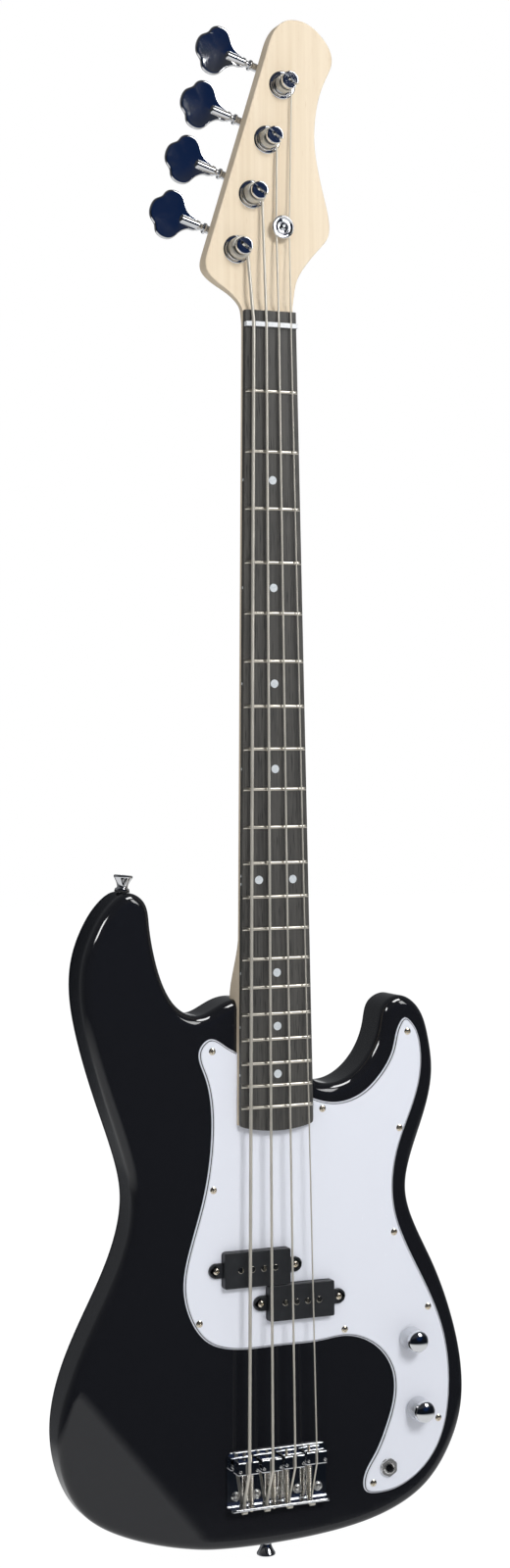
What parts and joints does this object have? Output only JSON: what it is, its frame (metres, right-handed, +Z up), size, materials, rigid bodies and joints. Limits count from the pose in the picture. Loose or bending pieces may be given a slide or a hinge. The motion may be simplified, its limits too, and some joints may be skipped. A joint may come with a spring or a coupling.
{
  "type": "electric bass guitar",
  "caption": "Solid-body electric bass guitar with bolt-on neck, split pickup, worm-geared tuners, adjustable bridge saddles, control knobs and output jack.",
  "frame": {"origin": "on the centre line at the nut's fingerboard side, level with the front of the body", "axes": "+Z up along the neck towards the head, +X to the treble side seen from the front, +Y to the back"},
  "size_m": [0.3333, 0.0668, 1.1823],
  "materials": {
    "black_lacquer": "gloss black lacquer on wood",
    "maple": "satin maple",
    "dark_board": "open-grained dark board, satin",
    "fret_wire": "polished nickel alloy",
    "white_nut": "polished white",
    "pale_dots": "pale grey inlay",
    "plain_steel": "plain steel",
    "chrome": "bright chrome",
    "nickel_screws": "nickel plate",
    "spring_steel": "bright spring wire",
    "wound_nickel": "round-wound nickel",
    "white_guard": "white sheet with a dark middle ply",
    "black_cover": "satin black",
    "pole_steel": "bare steel",
    "coil_wire": "enamelled copper wire",
    "grey_foam": "foam",
    "black_felt": "pressed felt",
    "film_capacitor": "dipped"
  },
  "bodies": {
    "root": {"body": "black_lacquer", "neck": "maple", "fingerboard": "dark_board", "frets": "fret_wire", "nut": "white_nut", "position_dots": "pale_dots", "truss_rod": "plain_steel", "pot_bodies": "plain_steel", "neck_plate": "chrome", "wood_screws": "chrome", "bridge_plate": "chrome", "bridge_screws": "chrome", "tuner_plates": "chrome", "tuner_bushings": "chrome", "headstock_screws": "chrome", "string_tree": "chrome", "strap_buttons": "chrome", "output_jack": "chrome", "control_nuts": "chrome", "pickguard_screws": "nickel_screws", "pickup_screws": "nickel_screws", "spring_e": "spring_steel", "spring_a": "spring_steel", "spring_d": "spring_steel", "spring_g": "spring_steel", "string_e": "wound_nickel", "string_a": "wound_nickel", "string_d": "wound_nickel", "string_g": "wound_nickel", "pickguard": "white_guard", "pickup_covers": "black_cover", "pole_pieces": "pole_steel", "pickup_coils": "coil_wire", "pickup_foam": "grey_foam", "strap_felts": "black_felt", "capacitor": "film_capacitor"},
    "tuner_key_e": {"tuner_key_e": "chrome"},
    "tuner_post_e": {"tuner_post_e": "chrome"},
    "tuner_key_a": {"tuner_key_a": "chrome"},
    "tuner_post_a": {"tuner_post_a": "chrome"},
    "tuner_key_d": {"tuner_key_d": "chrome"},
    "tuner_post_d": {"tuner_post_d": "chrome"},
    "tuner_key_g": {"tuner_key_g": "chrome"},
    "tuner_post_g": {"tuner_post_g": "chrome"},
    "knob_volume": {"knob_volume": "chrome", "pot_shaft_volume": "plain_steel"},
    "knob_tone": {"knob_tone": "chrome", "pot_shaft_tone": "plain_steel"},
    "saddle_e": {"saddle_e": "chrome", "height_screws_e": "nickel_screws"},
    "intonation_screw_e": {"intonation_screw_e": "nickel_screws"},
    "saddle_a": {"saddle_a": "chrome", "height_screws_a": "nickel_screws"},
    "intonation_screw_a": {"intonation_screw_a": "nickel_screws"},
    "saddle_d": {"saddle_d": "chrome", "height_screws_d": "nickel_screws"},
    "intonation_screw_d": {"intonation_screw_d": "nickel_screws"},
    "saddle_g": {"saddle_g": "chrome", "height_screws_g": "nickel_screws"},
    "intonation_screw_g": {"intonation_screw_g": "nickel_screws"}
  },
  "joints": [
    {"name": "key_e_turn", "type": "hinge", "parent": "root", "child": "tuner_key_e", "pos_m": [-0.01996, 0.0193, 0.07114], "axis": [0.9573, 0, -0.289], "continuous": true},
    {"name": "post_e_turn", "type": "hinge", "parent": "root", "child": "tuner_post_e", "pos_m": [-0.0235, 0, 0.05941], "axis": [0, -1, 0], "continuous": true},
    {"name": "key_a_turn", "type": "hinge", "parent": "root", "child": "tuner_key_a", "pos_m": [-0.0071, 0.0193, 0.11374], "axis": [0.9573, 0, -0.289], "continuous": true},
    {"name": "post_a_turn", "type": "hinge", "parent": "root", "child": "tuner_post_a", "pos_m": [-0.01064, 0, 0.10201], "axis": [0, -1, 0], "continuous": true},
    {"name": "key_d_turn", "type": "hinge", "parent": "root", "child": "tuner_key_d", "pos_m": [0.00576, 0.0193, 0.15634], "axis": [0.9573, 0, -0.289], "continuous": true},
    {"name": "post_d_turn", "type": "hinge", "parent": "root", "child": "tuner_post_d", "pos_m": [0.00222, 0, 0.14461], "axis": [0, -1, 0], "continuous": true},
    {"name": "key_g_turn", "type": "hinge", "parent": "root", "child": "tuner_key_g", "pos_m": [0.01863, 0.0193, 0.19894], "axis": [0.9573, 0, -0.289], "continuous": true},
    {"name": "post_g_turn", "type": "hinge", "parent": "root", "child": "tuner_post_g", "pos_m": [0.01509, 0, 0.18721], "axis": [0, -1, 0], "continuous": true},
    {"name": "knob_volume_turn", "type": "hinge", "parent": "root", "child": "knob_volume", "pos_m": [0.11375, 0, -0.78182], "axis": [0, -1, 0], "range_deg": [-150, 150]},
    {"name": "knob_tone_turn", "type": "hinge", "parent": "root", "child": "knob_tone", "pos_m": [0.11907, 0, -0.83726], "axis": [0, -1, 0], "range_deg": [-150, 150]},
    {"name": "intonation_e_turn", "type": "hinge", "parent": "root", "child": "intonation_screw_e", "pos_m": [-0.02405, -0.0085, -0.898], "axis": [0, 0, 1], "range_deg": [-1540, 5140]},
    {"name": "saddle_e_slide", "type": "slide", "parent": "root", "child": "saddle_e", "axis": [0, 0, 1], "range_m": [-0.01, 0.003], "deforming": ["spring_e", "string_e"]},
    {"name": "intonation_a_turn", "type": "hinge", "parent": "root", "child": "intonation_screw_a", "pos_m": [-0.00535, -0.0085, -0.898], "axis": [0, 0, 1], "range_deg": [-1540, 5140]},
    {"name": "saddle_a_slide", "type": "slide", "parent": "root", "child": "saddle_a", "axis": [0, 0, 1], "range_m": [-0.01, 0.003], "deforming": ["spring_a", "string_a"]},
    {"name": "intonation_d_turn", "type": "hinge", "parent": "root", "child": "intonation_screw_d", "pos_m": [0.00535, -0.0085, -0.898], "axis": [0, 0, 1], "range_deg": [-1540, 5140]},
    {"name": "saddle_d_slide", "type": "slide", "parent": "root", "child": "saddle_d", "axis": [0, 0, 1], "range_m": [-0.01, 0.003], "deforming": ["spring_d", "string_d"]},
    {"name": "intonation_g_turn", "type": "hinge", "parent": "root", "child": "intonation_screw_g", "pos_m": [0.02405, -0.0085, -0.898], "axis": [0, 0, 1], "range_deg": [-1540, 5140]},
    {"name": "saddle_g_slide", "type": "slide", "parent": "root", "child": "saddle_g", "axis": [0, 0, 1], "range_m": [-0.01, 0.003], "deforming": ["spring_g", "string_g"]}
  ],
  "couplings": [
    {"joint": "post_e_turn", "follows": "key_e_turn", "ratio": 0.05},
    {"joint": "post_a_turn", "follows": "key_a_turn", "ratio": 0.05},
    {"joint": "post_d_turn", "follows": "key_d_turn", "ratio": 0.05},
    {"joint": "post_g_turn", "follows": "key_g_turn", "ratio": 0.05},
    {"joint": "intonation_e_turn", "follows": "saddle_e_slide", "rad_per_m": -8976},
    {"joint": "intonation_a_turn", "follows": "saddle_a_slide", "rad_per_m": -8976},
    {"joint": "intonation_d_turn", "follows": "saddle_d_slide", "rad_per_m": -8976},
    {"joint": "intonation_g_turn", "follows": "saddle_g_slide", "rad_per_m": -8976}
  ]
}
